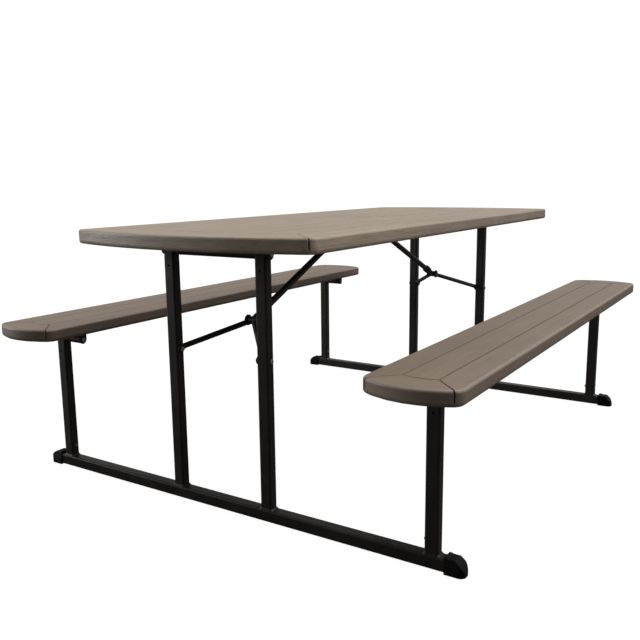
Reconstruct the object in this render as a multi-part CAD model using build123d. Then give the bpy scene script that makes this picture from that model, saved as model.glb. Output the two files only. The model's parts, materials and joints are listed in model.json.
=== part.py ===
from build123d import *
import math
import os

# A folding picnic table: a moulded top and two moulded benches on two folding steel end frames.
# Millimetres. +X runs along the table from its near end to its far end, +Y to the left bench,
# +Z up. The origin is on the ground under the middle of the top.

# Table top -------------------------------------------------------------------------------
TABLE_HEIGHT = 737.0
TABLE_LENGTH = 1829.0           # over the crowns of the bowed ends
TABLE_WIDTH = 744.0
TABLE_END_BOW = 63.0            # crown of an end beyond its corners
TABLE_CORNER_RADIUS = 26.0
TABLE_RIM_DEPTH = 37.0
TABLE_RIM_WIDTH = 26.0
TABLE_PANEL_DEPTH = 14.0
TABLE_TOP_FILLET = 6.0
TABLE_BOTTOM_FILLET = 9.0
TABLE_SIDE_BORDER = 105.0       # plain strip outside the planks, along each side
TABLE_END_BORDER = 118.0        # the same across each end, at its crown
TABLE_PLANKS = 6
STIFFENERS_PER_END = 4
STIFFENER_WIDTH = 8.0
STIFFENER_DEPTH = 14.0
STIFFENER_GAP = 40.0            # strut anchor to the first stiffener, and the last one to an ear

# Benches ---------------------------------------------------------------------------------
BENCH_HEIGHT = 458.0
BENCH_LENGTH = 1800.0
BENCH_WIDTH = 224.0
BENCH_END_BOW = 36.0
BENCH_CORNER_RADIUS = 30.0
BENCH_RIM_DEPTH = 36.0
BENCH_RIM_WIDTH = 15.0
BENCH_PANEL_DEPTH = 14.0
BENCH_TOP_FILLET = 7.0
BENCH_BOTTOM_FILLET = 9.0
BENCH_SIDE_BORDER = 71.0
BENCH_END_BORDER = 78.0
BENCH_PLANKS = 1
BENCH_OFFSET = 603.0            # middle of a bench from the middle of the table

# Grooves moulded in the tops
GROOVE_WIDTH = 3.4
GROOVE_DEPTH = 2.4
CORNER_SLOT_DEPTH = 3.5
CORNER_SLOT_LAND = 9.0          # uncut height left under a corner slot
MITRE_TURN = 33.0               # where a mitre meets its round corner: degrees from the end to the side

# Umbrella hole ---------------------------------------------------------------------------
HOLE_RADIUS = 22.0
CAP_RADIUS = 33.0
CAP_THICKNESS = 3.0
CAP_WALL = 2.5
CAP_PLUG_LENGTH = 11.0
CAP_CLEARANCE = 0.4
RING_GROOVE_RADIUS = 75.0

# End frames ------------------------------------------------------------------------------
FRAME_OFFSET = 735.0            # fold axis from the middle of the table, along X
HINGE_DROP = 54.0               # table fold axis below the table surface
BENCH_HINGE_DROP = 54.0         # bench fold axis below the bench surface
TALL_POST_OFFSET = 148.5
POST_WIDTH = 34.0               # along Y
POST_DEPTH = 26.0               # along X
POST_CORNER = 5.0
TUBE_WALL = 1.6
RAIL_WIDTH = 32.0               # along X
RAIL_HEIGHT = 32.0
RAIL_LENGTH = 1324.0
CROSSBAR_RADIUS = 12.0
CROSSBAR_WALL = 2.0
WELD_LEG = 4.0
FACE_HOLE_RADIUS = 3.0
FACE_HOLE_DROP = 40.0

# Feet
SHOE_SOLE = 2.0
SHOE_WALL = 2.5
SHOE_GRIP = 26.0                # length of rail that a shoe covers
SHOE_NOSE = 22.0                # sloping nose beyond the end of the rail
SHOE_BULGE = 2.5                # how far the slope of the nose swells out of a straight line
SHOE_LIP = 5.5                  # raised inner lip above the rail
SHOE_LIP_WIDTH = 5.0
SHOE_TOP = 3.5                  # shoe roof above the rail
SHOE_TIP = 7.0                  # height of the upright tip of the nose
SHOE_TAPER = 2.5                # how far each side leans in towards the roof
SHOE_ROUND = 15.0               # radius of the nose, seen from above

# Hinge brackets --------------------------------------------------------------------------
PLATE = 3.0
EAR_RADIUS = 13.0
EAR_GAP = 1.0                   # end of a crossbar to its ear
TABLE_CROSSBAR_OVERHANG = 2.5   # crossbar end beyond its tall post
TABLE_EAR_WIDTH = 48.0          # along X
TABLE_EAR_FLANGE = 26.0         # along Y
SADDLE_INNER_REACH = 85.0       # middle of a bench post to the outside of the inner ear
SADDLE_OUTER_REACH = 68.0       # the same to the outer ear
SADDLE_WIDTH = 50.0             # along X
SADDLE_CLEARANCE = 0.3          # saddle to the track that it slides under
TRACK_WIDTH = 30.0
TRACK_SPACING = 92.0            # between the middles of the two tracks of a pair
TRACK_END = 20.0                # track beyond the saddle at each end of its travel

# Folding braces --------------------------------------------------------------------------
ARM_PIVOT_DROP = 263.0          # wishbone pivot below the table fold axis
STRUT_PIVOT_OFFSET = 143.5      # strut's upper pivot from the middle of the table, along X
ARM_RADIUS = 7.5
TAB_RADIUS = 11.0
HUB_TAB_RADIUS = 15.0
TAB_LEAD = 15.0                 # pivot to the root of the arm's tube
STRUT_RADIUS = 9.5
STRUT_WALL = 1.5
STRUT_END = 9.0                 # strut beyond its upper pivot
BARREL_RADIUS = 11.0
BARREL_HALF_LENGTH = 14.2
HUB_GAP = 0.3                   # barrel to an arm's tab
RING_WALL = 3.8
RING_LENGTH = 26.0
RING_POSITION = 56.0            # hub to the middle of the lock ring
ANCHOR_LENGTH = 56.0
ANCHOR_GAP = 2.5                # strut to an ear of its anchor

# Fasteners -------------------------------------------------------------------------------
BOLT_RADIUS = 4.0
BOLT_HEAD_RADIUS = 7.0
BOLT_HEAD = 4.0
SCREW_RADIUS = 2.5
SCREW_HEAD_RADIUS = 5.0
SCREW_HEAD = 2.2
SCREW_BITE = 11.0
BUSH_LENGTH = 24.0
POST_BOLT_HEIGHT = 32.0         # bench post bolt above the rail
POST_BOLT_HEAD_RADIUS = 4.8
POST_BOLT_SHANK = 3.0
RUNNING = 0.06                  # radial clearance of whatever turns
SLIP = 0.2                      # clearance of what is only pushed together

# Places that follow from the sizes --------------------------------------------------------
RAIL_TOP = SHOE_SOLE + RAIL_HEIGHT
HINGE_Z = TABLE_HEIGHT - HINGE_DROP
BENCH_HINGE_Z = BENCH_HEIGHT - BENCH_HINGE_DROP
TABLE_UNDERSIDE = TABLE_HEIGHT - TABLE_PANEL_DEPTH
BENCH_UNDERSIDE = BENCH_HEIGHT - BENCH_PANEL_DEPTH
CROSSBAR_BORE = CROSSBAR_RADIUS - CROSSBAR_WALL
TABLE_CROSSBAR_END = TALL_POST_OFFSET + POST_WIDTH / 2 + TABLE_CROSSBAR_OVERHANG
TABLE_EAR_FACE = TABLE_CROSSBAR_END + EAR_GAP
SADDLE_TOP = BENCH_UNDERSIDE - PLATE - SADDLE_CLEARANCE
FOLDED_BENCH_HINGE = FRAME_OFFSET - (HINGE_Z - BENCH_HINGE_Z)
ARM_TAB_OUTER = TALL_POST_OFFSET - POST_WIDTH / 2 - 4 * SLIP
HUB_TAB_INNER = BARREL_HALF_LENGTH + HUB_GAP

ENDS = {"near": -1, "far": 1}
SIDES = {"left": 1, "right": -1}
LEFT_RIGHT = (1, -1)
UP = Axis.Z


def save(node, *shapes):
    """Write the separate solids of one node to its STEP file."""
    solids = [solid for shape in shapes for solid in shape.solids()]
    body = solids[0] if len(solids) == 1 else Compound(children=solids)
    export_step(body, f"parts/{node}.step")


def flip_x(shape, end):
    """Give a piece drawn at the far end to the end asked for."""
    return shape if end > 0 else mirror(shape, about=Plane.YZ)


def flip_y(shape, side):
    """Give a piece drawn on the left to the side asked for."""
    return shape if side > 0 else mirror(shape, about=Plane.XZ)


def rod(radius, start, length, direction):
    """A round rod from a point along a direction."""
    return Plane(start, z_dir=direction) * extrude(Circle(radius), length)


def rod_y(radius, x, z, y_low, y_high):
    """A round rod along Y."""
    return rod(radius, (x, y_low, z), y_high - y_low, (0, 1, 0))


def block(x, y, z):
    """A box from its low and high limits along each axis."""
    middle = [(low + high) / 2 for low, high in (x, y, z)]
    return Pos(*middle) * Box(x[1] - x[0], y[1] - y[0], z[1] - z[0])


# Moulded panels ---------------------------------------------------------------------------

def bowed_outline(length, width, bow, corner_radius):
    """The plan of a panel: straight sides, ends bowed outwards, rounded corners."""
    x, y = length / 2 - bow, width / 2
    edges = [
        Line((-x, y), (x, y)),
        ThreePointArc((x, y), (x + bow, 0), (x, -y)),
        Line((x, -y), (-x, -y)),
        ThreePointArc((-x, -y), (-x - bow, 0), (-x, y)),
    ]
    face = make_face(edges)
    return fillet(face.vertices(), corner_radius)


def end_radius(width, bow):
    """The radius of the arc that bows an end."""
    return ((width / 2) ** 2 + bow ** 2) / (2 * bow)


def moulded_blank(outline, rim_depth, rim_width, panel_depth, top_fillet, bottom_fillet):
    """A panel with a rim around a shallow hollow underside. Its surface is at z = 0."""
    blank = Pos(0, 0, -rim_depth) * extrude(outline, rim_depth)
    blank = fillet(blank.edges().group_by(UP)[-1], top_fillet)
    blank = fillet(blank.edges().group_by(UP)[0], bottom_fillet)
    hollow = offset(outline, amount=-rim_width)
    return blank - Pos(0, 0, -rim_depth) * extrude(hollow, rim_depth - panel_depth)


def mitre_tip(length, width, bow, corner_radius):
    """The point of a rounded corner that its mitre groove runs out through."""
    arc = end_radius(width, bow)
    y = width / 2 - corner_radius
    x = length / 2 - arc + math.sqrt((arc - corner_radius) ** 2 - y ** 2)
    turn = math.radians(MITRE_TURN)
    return Vector(x + corner_radius * math.cos(turn), y + corner_radius * math.sin(turn), 0)


def frame_grooves(length, width, bow, corner_radius, side_border, end_border, planks, rim_depth):
    """Grooves between the planks, across each end, and out through each mitred corner."""
    inner_y = width / 2 - side_border
    arc_radius = end_radius(width, bow) - end_border
    arc_centre = length / 2 - end_border - arc_radius
    inner_x = arc_centre + math.sqrt(arc_radius ** 2 - inner_y ** 2)
    sunk = GROOVE_DEPTH
    cuts = []
    for index in range(planks + 1):
        y = -inner_y + 2 * inner_y * index / planks
        reach = arc_centre + math.sqrt(arc_radius ** 2 - y ** 2)
        cuts.append(Pos(0, y, 0) * Box(2 * reach, GROOVE_WIDTH, 2 * sunk))
    arc_band = Circle(arc_radius + GROOVE_WIDTH / 2) - Circle(arc_radius - GROOVE_WIDTH / 2)
    end_arc = Pos(arc_centre, 0, -sunk) * extrude(arc_band, 2 * sunk)
    end_arc = end_arc & block((arc_centre, length), (-inner_y, inner_y), (-sunk, sunk))
    mitre_run = mitre_tip(length, width, bow, corner_radius) - Vector(inner_x, inner_y, 0)
    turn = math.degrees(math.atan2(mitre_run.Y, mitre_run.X))
    past = corner_radius
    mitre = Pos(mitre_run.length / 2, 0, 0) * Box(mitre_run.length + GROOVE_WIDTH, GROOVE_WIDTH, 2 * sunk)
    slot_floor = CORNER_SLOT_LAND - rim_depth
    slot = block((mitre_run.length - CORNER_SLOT_DEPTH, mitre_run.length + past),
                 (-GROOVE_WIDTH / 2, GROOVE_WIDTH / 2), (slot_floor, sunk))
    for end in ENDS.values():
        cuts.append(flip_x(end_arc, end))
        for side in LEFT_RIGHT:
            for cut in (mitre, slot):
                placed = Pos(inner_x, inner_y, 0) * Rot(0, 0, turn) * cut
                cuts.append(flip_y(flip_x(placed, end), side))
    return cuts


def table_screw_places():
    """Every (x, y) on the far half where a bracket screw enters the table top."""
    flange_y = TABLE_EAR_FACE + PLATE + TABLE_EAR_FLANGE / 2
    ears = [(FRAME_OFFSET + step * TABLE_EAR_WIDTH / 3, side * flange_y)
            for step in (-1, 1) for side in LEFT_RIGHT]
    anchor = [(STRUT_PIVOT_OFFSET + step * (ANCHOR_LENGTH / 2 - 1.6 * SCREW_HEAD_RADIUS), 0)
              for step in (-1, 1)]
    return ears + anchor


def track_screw_places():
    """Every (x, y) on the far half where a track screw enters a bench, from its middle."""
    return [(x, side * TRACK_SPACING / 2) for x in track_screw_xs() for side in LEFT_RIGHT]


def track_ends():
    """The inner and outer ends of a track along X."""
    reach = SADDLE_WIDTH / 2 + TRACK_END
    return FOLDED_BENCH_HINGE - reach, FRAME_OFFSET + reach


def track_screw_xs():
    """Where a track's two screws stand, clear of the saddle at both ends of its travel."""
    inner, outer = track_ends()
    return inner + TRACK_END / 2, outer - TRACK_END / 2


def pilot_holes(places, underside):
    """Holes for screws that come up from below."""
    return [rod(SCREW_RADIUS, (end * x, y, underside), SCREW_BITE, (0, 0, 1))
            for x, y in places for end in ENDS.values()]


def stiffener_places():
    """Where the stiffeners of the far half stand, from the strut anchor to the hinge ears."""
    first = STRUT_PIVOT_OFFSET + ANCHOR_LENGTH / 2 + STIFFENER_GAP
    last = FRAME_OFFSET - TABLE_EAR_WIDTH / 2 - STIFFENER_GAP
    step = (last - first) / (STIFFENERS_PER_END - 1)
    return [first + step * index for index in range(STIFFENERS_PER_END)]


def stiffeners():
    """Moulded cross ribs in the hollow under the table top."""
    half = TABLE_WIDTH / 2 - TABLE_RIM_WIDTH
    low = TABLE_UNDERSIDE - STIFFENER_DEPTH
    high = TABLE_UNDERSIDE + TABLE_PANEL_DEPTH / 2
    return [block((end * x - STIFFENER_WIDTH / 2, end * x + STIFFENER_WIDTH / 2), (-half, half), (low, high))
            for x in stiffener_places() for end in ENDS.values()]


def tabletop():
    """The moulded table top with its planks, umbrella hole and ring."""
    outline = bowed_outline(TABLE_LENGTH, TABLE_WIDTH, TABLE_END_BOW, TABLE_CORNER_RADIUS)
    panel = moulded_blank(outline, TABLE_RIM_DEPTH, TABLE_RIM_WIDTH, TABLE_PANEL_DEPTH,
                          TABLE_TOP_FILLET, TABLE_BOTTOM_FILLET)
    island = RING_GROOVE_RADIUS + GROOVE_WIDTH / 2
    planks = frame_grooves(TABLE_LENGTH, TABLE_WIDTH, TABLE_END_BOW, TABLE_CORNER_RADIUS,
                           TABLE_SIDE_BORDER, TABLE_END_BORDER, TABLE_PLANKS, TABLE_RIM_DEPTH)
    smooth_disc = Pos(0, 0, -2 * GROOVE_DEPTH) * extrude(Circle(island), 4 * GROOVE_DEPTH)
    panel = panel - [cut - smooth_disc for cut in planks]
    ring = Circle(island) - Circle(island - GROOVE_WIDTH)
    panel = panel - Pos(0, 0, -GROOVE_DEPTH) * extrude(ring, 2 * GROOVE_DEPTH)
    panel = Pos(0, 0, TABLE_HEIGHT) * panel
    panel = panel + stiffeners()
    panel = panel - rod(HOLE_RADIUS, (0, 0, TABLE_HEIGHT - TABLE_RIM_DEPTH), TABLE_RIM_DEPTH, (0, 0, 1))
    seat = rod(CAP_RADIUS + CAP_CLEARANCE, (0, 0, TABLE_HEIGHT - CAP_THICKNESS), CAP_THICKNESS, (0, 0, 1))
    return panel - seat - pilot_holes(table_screw_places(), TABLE_UNDERSIDE)


def umbrella_cap():
    """A flush cap whose hollow plug fills the umbrella hole."""
    base = TABLE_HEIGHT - CAP_THICKNESS
    plug_radius = HOLE_RADIUS - CAP_CLEARANCE
    disc = rod(CAP_RADIUS, (0, 0, base), CAP_THICKNESS, (0, 0, 1))
    disc = chamfer(disc.edges().group_by(UP)[-1], CAP_THICKNESS / 4)
    plug = rod(plug_radius, (0, 0, base - CAP_PLUG_LENGTH), CAP_PLUG_LENGTH, (0, 0, 1))
    plug = plug - rod(plug_radius - CAP_WALL, (0, 0, base - CAP_PLUG_LENGTH), CAP_PLUG_LENGTH, (0, 0, 1))
    return disc + plug


def bench():
    """A moulded bench about its own middle line."""
    outline = bowed_outline(BENCH_LENGTH, BENCH_WIDTH, BENCH_END_BOW, BENCH_CORNER_RADIUS)
    panel = moulded_blank(outline, BENCH_RIM_DEPTH, BENCH_RIM_WIDTH, BENCH_PANEL_DEPTH,
                          BENCH_TOP_FILLET, BENCH_BOTTOM_FILLET)
    panel = panel - frame_grooves(BENCH_LENGTH, BENCH_WIDTH, BENCH_END_BOW, BENCH_CORNER_RADIUS,
                                  BENCH_SIDE_BORDER, BENCH_END_BORDER, BENCH_PLANKS, BENCH_RIM_DEPTH)
    panel = Pos(0, 0, BENCH_HEIGHT) * panel
    return panel - pilot_holes(track_screw_places(), BENCH_UNDERSIDE)


# Fasteners --------------------------------------------------------------------------------

def screw_up(x, y, seat):
    """A round-headed screw driven upwards, its head below the seat."""
    head = rod(SCREW_HEAD_RADIUS, (x, y, seat - SCREW_HEAD), SCREW_HEAD, (0, 0, 1))
    head = fillet(head.edges().group_by(UP)[0], SCREW_HEAD / 2)
    return head + rod(SCREW_RADIUS, (x, y, seat), PLATE + SCREW_BITE, (0, 0, 1))


def bushed_bolt(x, z, crossbar_end, ear_face):
    """A bolt through an ear, with the bush that a crossbar's end turns on. Points to +Y."""
    bush = rod_y(CROSSBAR_BORE - RUNNING, x, z, crossbar_end - BUSH_LENGTH, crossbar_end)
    shank = rod_y(BOLT_RADIUS, x, z, crossbar_end, ear_face + PLATE)
    return bush + shank + hex_head(x, z, ear_face + PLATE)


def hex_head(x, z, y, radius=BOLT_HEAD_RADIUS):
    """A hexagon head that stands outwards along +Y from a face."""
    head = Plane((x, y, z), z_dir=(0, 1, 0)) * extrude(RegularPolygon(radius, 6), BOLT_HEAD)
    return chamfer(head.edges().group_by(Axis.Y)[-1], BOLT_HEAD / 6)


def pivot_bolt():
    """The bolt of a wishbone arm, through its tall post, with a head outside and a nut inside."""
    x, z = FRAME_OFFSET, HINGE_Z - ARM_PIVOT_DROP
    outer = TALL_POST_OFFSET + POST_WIDTH / 2
    nut_face = ARM_TAB_OUTER - PLATE - 2 * SLIP
    shank = rod_y(BOLT_RADIUS, x, z, nut_face - BOLT_HEAD, outer)
    nut = Pos(0, nut_face - BOLT_HEAD, 0) * hex_head(x, z, 0)
    return shank + hex_head(x, z, outer) + nut


def post_bolt():
    """The short bolt low on the inner face of a bench post."""
    x, z = FRAME_OFFSET, RAIL_TOP + POST_BOLT_HEIGHT
    face = BENCH_OFFSET - POST_WIDTH / 2
    head = mirror(hex_head(x, z, 0, POST_BOLT_HEAD_RADIUS), about=Plane.XZ)
    return Pos(0, face, 0) * head + rod_y(POST_BOLT_SHANK, x, z, face, face + TUBE_WALL)


# End frames -------------------------------------------------------------------------------

def tube_section(width_x, width_y, corner):
    """The section of a rounded rectangular tube."""
    outer = RectangleRounded(width_x, width_y, corner)
    inner = RectangleRounded(width_x - 2 * TUBE_WALL, width_y - 2 * TUBE_WALL, corner - TUBE_WALL)
    return outer - inner


def base_rail():
    """The rail across the ground under one end."""
    section = Plane((FRAME_OFFSET, -RAIL_LENGTH / 2, SHOE_SOLE + RAIL_HEIGHT / 2),
                    x_dir=(1, 0, 0), z_dir=(0, 1, 0)) * tube_section(RAIL_WIDTH, RAIL_HEIGHT, POST_CORNER)
    return extrude(section, RAIL_LENGTH)


def post(y, top):
    """An upright from the rail to the crossbar that it carries."""
    upright = Pos(FRAME_OFFSET, y, RAIL_TOP) * extrude(tube_section(POST_DEPTH, POST_WIDTH, POST_CORNER),
                                                       top - RAIL_TOP)
    upright = upright - rod_y(CROSSBAR_RADIUS, FRAME_OFFSET, top, y - POST_WIDTH, y + POST_WIDTH)
    face_hole = rod(FACE_HOLE_RADIUS, (FRAME_OFFSET, y, top - FACE_HOLE_DROP), POST_DEPTH, (1, 0, 0))
    return upright - face_hole


def tall_post():
    """A post under the table top, bored for its wishbone pivot."""
    bore = rod_y(BOLT_RADIUS, FRAME_OFFSET, HINGE_Z - ARM_PIVOT_DROP,
                 TALL_POST_OFFSET - POST_WIDTH, TALL_POST_OFFSET + POST_WIDTH)
    return post(TALL_POST_OFFSET, HINGE_Z) - bore


def bench_post():
    """A post under a bench, bored for its short bolt."""
    face = BENCH_OFFSET - POST_WIDTH / 2
    bore = rod_y(POST_BOLT_SHANK, FRAME_OFFSET, RAIL_TOP + POST_BOLT_HEIGHT, face - 1, face + 2 * TUBE_WALL)
    return post(BENCH_OFFSET, BENCH_HINGE_Z) - bore


def crossbar(y_low, y_high, z):
    """A round cross tube that turns on the bushes at its ends."""
    outer = rod_y(CROSSBAR_RADIUS, FRAME_OFFSET, z, y_low, y_high)
    return outer - rod_y(CROSSBAR_BORE, FRAME_OFFSET, z, y_low, y_high)


def weld_bead(y):
    """The bead around the foot of a post."""
    base = RectangleRounded(POST_DEPTH + WELD_LEG, POST_WIDTH + 2 * WELD_LEG, POST_CORNER)
    top = RectangleRounded(POST_DEPTH + SLIP, POST_WIDTH + SLIP, POST_CORNER)
    bead = loft([base.face(), Pos(0, 0, WELD_LEG) * top.face()])
    core = extrude(RectangleRounded(POST_DEPTH, POST_WIDTH, POST_CORNER), WELD_LEG)
    return Pos(FRAME_OFFSET, y, RAIL_TOP) * (bead - core)


def shoe_side():
    """A shoe from the side: sole, inner lip, roof and sloping nose, in Y and Z."""
    inner = RAIL_LENGTH / 2 - SHOE_GRIP
    nose_start = RAIL_LENGTH / 2
    tip = nose_start + SHOE_NOSE
    roof = RAIL_TOP + SHOE_TOP
    lip = RAIL_TOP + SHOE_LIP
    swell = ((nose_start + tip) / 2 + SHOE_BULGE, (roof + SHOE_TIP) / 2 + SHOE_BULGE)
    return make_face([
        Polyline((tip, SHOE_TIP), (tip, 0), (inner, 0), (inner, lip), (inner + SHOE_LIP_WIDTH, lip),
                 (inner + 2 * SHOE_LIP_WIDTH, roof), (nose_start, roof)),
        ThreePointArc((nose_start, roof), swell, (tip, SHOE_TIP)),
    ])


def foot_shoe():
    """The plastic shoe on the left end of a rail, tapered upwards and round at its nose."""
    inner = RAIL_LENGTH / 2 - SHOE_GRIP
    tip = RAIL_LENGTH / 2 + SHOE_NOSE
    half = RAIL_WIDTH / 2 + SHOE_WALL
    lip = RAIL_TOP + SHOE_LIP
    side = Plane((-half, 0, 0), x_dir=(0, 1, 0), z_dir=(1, 0, 0)) * shoe_side()
    shoe = extrude(side, 2 * half)
    lean = half - SHOE_TAPER
    section = Polyline((-half, 0), (half, 0), (half, lip / 2), (lean, lip), (-lean, lip), (-half, lip / 2),
                       close=True)
    upright = Plane((0, inner, 0), x_dir=(1, 0, 0), z_dir=(0, -1, 0)) * make_face(section)
    shoe = shoe & extrude(upright, inner - tip)
    plan = block((-half, half), (inner, tip), (0, lip))
    plan = fillet(plan.edges().filter_by(UP).group_by(Axis.Y)[-1], SHOE_ROUND)
    shoe = shoe & plan
    start = Plane((0, inner - 1, SHOE_SOLE + RAIL_HEIGHT / 2), x_dir=(1, 0, 0), z_dir=(0, 1, 0))
    pocket = start * RectangleRounded(RAIL_WIDTH + SLIP, RAIL_HEIGHT + SLIP, POST_CORNER)
    return Pos(FRAME_OFFSET, 0, 0) * (shoe - extrude(pocket, SHOE_GRIP + 1))


# Brackets ---------------------------------------------------------------------------------

def hanging_ear(x, z, radius, root, y_low, width):
    """A plate that hangs from a root height and ends round about a pivot."""
    neck = block((x - width / 2, x + width / 2), (y_low, y_low + PLATE), (root - PLATE, root))
    web = block((x - radius, x + radius), (y_low, y_low + PLATE), (z, root))
    return neck + web + rod_y(radius, x, z, y_low, y_low + PLATE)


def table_ear():
    """The left hinge bracket of an end: an ear outside the tall post and a flange for screws."""
    ear = hanging_ear(FRAME_OFFSET, HINGE_Z, EAR_RADIUS, TABLE_UNDERSIDE, TABLE_EAR_FACE, TABLE_EAR_WIDTH)
    ear = ear - rod_y(BOLT_RADIUS, FRAME_OFFSET, HINGE_Z, TABLE_EAR_FACE - 1, TABLE_EAR_FACE + 2 * PLATE)
    half = TABLE_EAR_WIDTH / 2
    flange = block((FRAME_OFFSET - half, FRAME_OFFSET + half),
                   (TABLE_EAR_FACE, TABLE_EAR_FACE + PLATE + TABLE_EAR_FLANGE),
                   (TABLE_UNDERSIDE - PLATE, TABLE_UNDERSIDE))
    holes = [rod(SCREW_RADIUS, (x, y, TABLE_UNDERSIDE - 2 * PLATE), 3 * PLATE, (0, 0, 1))
             for x, y in table_screw_places()]
    return ear + flange - holes


def strut_anchor():
    """The bracket under the table top that holds the upper end of a strut."""
    x, z = STRUT_PIVOT_OFFSET, HINGE_Z
    face = STRUT_RADIUS + ANCHOR_GAP
    half = ANCHOR_LENGTH / 2
    plate = block((x - half, x + half), (-face - PLATE, face + PLATE),
                  (TABLE_UNDERSIDE - PLATE, TABLE_UNDERSIDE))
    ear = hanging_ear(x, z, EAR_RADIUS, TABLE_UNDERSIDE, face, ANCHOR_LENGTH)
    ear = ear - rod_y(BOLT_RADIUS, x, z, face - 1, face + 2 * PLATE)
    holes = [rod(SCREW_RADIUS, (x, y, TABLE_UNDERSIDE - 2 * PLATE), 3 * PLATE, (0, 0, 1))
             for x, y in table_screw_places()]
    return plate + ear + flip_y(ear, -1) - holes


def anchor_pin():
    """The pin of a strut's upper end, with a head on each side."""
    x, z = STRUT_PIVOT_OFFSET, HINGE_Z
    face = STRUT_RADIUS + ANCHOR_GAP + PLATE
    head = hex_head(x, z, face)
    return rod_y(BOLT_RADIUS, x, z, -face, face) + head + flip_y(head, -1)


def saddle():
    """The bracket that a left bench's crossbar turns in, about the middle line of its bench."""
    x, z = FRAME_OFFSET, BENCH_HINGE_Z
    half = SADDLE_WIDTH / 2
    plate = block((x - half, x + half), (-SADDLE_INNER_REACH, SADDLE_OUTER_REACH),
                  (SADDLE_TOP - PLATE, SADDLE_TOP))
    ears = [hanging_ear(x, z, EAR_RADIUS, SADDLE_TOP, y_low, SADDLE_WIDTH)
            for y_low in (-SADDLE_INNER_REACH, SADDLE_OUTER_REACH - PLATE)]
    bore = rod_y(BOLT_RADIUS, x, z, -SADDLE_INNER_REACH - 1, SADDLE_OUTER_REACH + 1)
    return plate + ears - bore


def bench_bar_ends():
    """Where a bench crossbar ends, inside its saddle's ears, from the middle line of its bench."""
    inset = PLATE + EAR_GAP
    return inset - SADDLE_INNER_REACH, SADDLE_OUTER_REACH - inset


def saddle_bolts():
    """The two bushed bolts of a left saddle, about the middle line of its bench."""
    inner, outer = bench_bar_ends()
    outer_bolt = bushed_bolt(FRAME_OFFSET, BENCH_HINGE_Z, outer, outer + EAR_GAP)
    inner_bolt = bushed_bolt(FRAME_OFFSET, BENCH_HINGE_Z, -inner, EAR_GAP - inner)
    return [outer_bolt, flip_y(inner_bolt, -1)]


def track(y):
    """A flat steel track under a bench."""
    inner, outer = track_ends()
    strip = block((inner, outer), (y - TRACK_WIDTH / 2, y + TRACK_WIDTH / 2),
                  (BENCH_UNDERSIDE - PLATE, BENCH_UNDERSIDE))
    strip = fillet(strip.edges().filter_by(UP), TRACK_WIDTH / 4)
    return strip - [rod(SCREW_RADIUS, (x, y, BENCH_UNDERSIDE - 2 * PLATE), 3 * PLATE, (0, 0, 1))
                    for x in track_screw_xs()]


# Folding braces ---------------------------------------------------------------------------

def brace_points():
    """Pivots of a brace in X and Z: on the post, at the hub and under the table top.

    The brace is straight when open. The hub divides it so that it lies straight again, folded
    back on itself, when the frame is flat under the top.
    """
    pivot = Vector(FRAME_OFFSET, 0, HINGE_Z - ARM_PIVOT_DROP)
    anchor = Vector(STRUT_PIVOT_OFFSET, 0, HINGE_Z)
    open_length = (anchor - pivot).length
    folded_length = FRAME_OFFSET - ARM_PIVOT_DROP - STRUT_PIVOT_OFFSET
    arm_length = (open_length - folded_length) / 2
    hub = pivot + (anchor - pivot).normalized() * arm_length
    return pivot, hub, anchor


def arm_tab(centre, along, radius, y_low):
    """A flat tab around a pivot with a rounded tongue along the arm."""
    root = centre + along * TAB_LEAD
    disc = rod_y(radius, centre.X, centre.Z, y_low, y_low + PLATE)
    end = rod_y(ARM_RADIUS, root.X, root.Z, y_low, y_low + PLATE)
    tongue = Plane((centre.X, y_low, centre.Z), x_dir=along, z_dir=(0, 1, 0))
    tongue = tongue * Pos(TAB_LEAD / 2, 0, 0) * extrude(Rectangle(TAB_LEAD, 2 * ARM_RADIUS), PLATE)
    return disc + tongue + end


def wishbone_arm():
    """The left arm of a wishbone: a round bar with a flat tab at each end."""
    pivot, hub, _ = brace_points()
    along = (hub - pivot).normalized()
    tab_inner = ARM_TAB_OUTER - PLATE
    start = pivot + along * TAB_LEAD + Vector(0, ARM_TAB_OUTER - PLATE / 2, 0)
    finish = hub - along * TAB_LEAD + Vector(0, HUB_TAB_INNER + PLATE / 2, 0)
    run = finish - start
    margin = run.normalized() * (2 * ARM_RADIUS)
    bar = rod(ARM_RADIUS, start - margin, run.length + 2 * margin.length, run)
    reach = abs(pivot.X) + TABLE_LENGTH
    bar = bar & block((-reach, reach), (HUB_TAB_INNER, ARM_TAB_OUTER), (0, TABLE_HEIGHT))
    arm = bar + arm_tab(pivot, along, TAB_RADIUS, tab_inner)
    arm = arm + arm_tab(hub, along * -1, HUB_TAB_RADIUS, HUB_TAB_INNER)
    nut_room = rod_y(BOLT_HEAD_RADIUS + SLIP, pivot.X, pivot.Z, 0, tab_inner)
    head_room = rod_y(BOLT_HEAD_RADIUS + SLIP, hub.X, hub.Z, HUB_TAB_INNER + PLATE, tab_inner)
    bores = [rod_y(BOLT_RADIUS + RUNNING, end.X, end.Z, 0, 2 * ARM_TAB_OUTER) for end in (pivot, hub)]
    return arm - nut_room - head_room - bores


def hub_rivet():
    """The left rivet of a hub: its shank ends at the inner face of the arm's tab."""
    _, hub, _ = brace_points()
    shank = rod_y(BOLT_RADIUS, hub.X, hub.Z, HUB_TAB_INNER, HUB_TAB_INNER + PLATE)
    return shank + hex_head(hub.X, hub.Z, HUB_TAB_INNER + PLATE)


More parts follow.
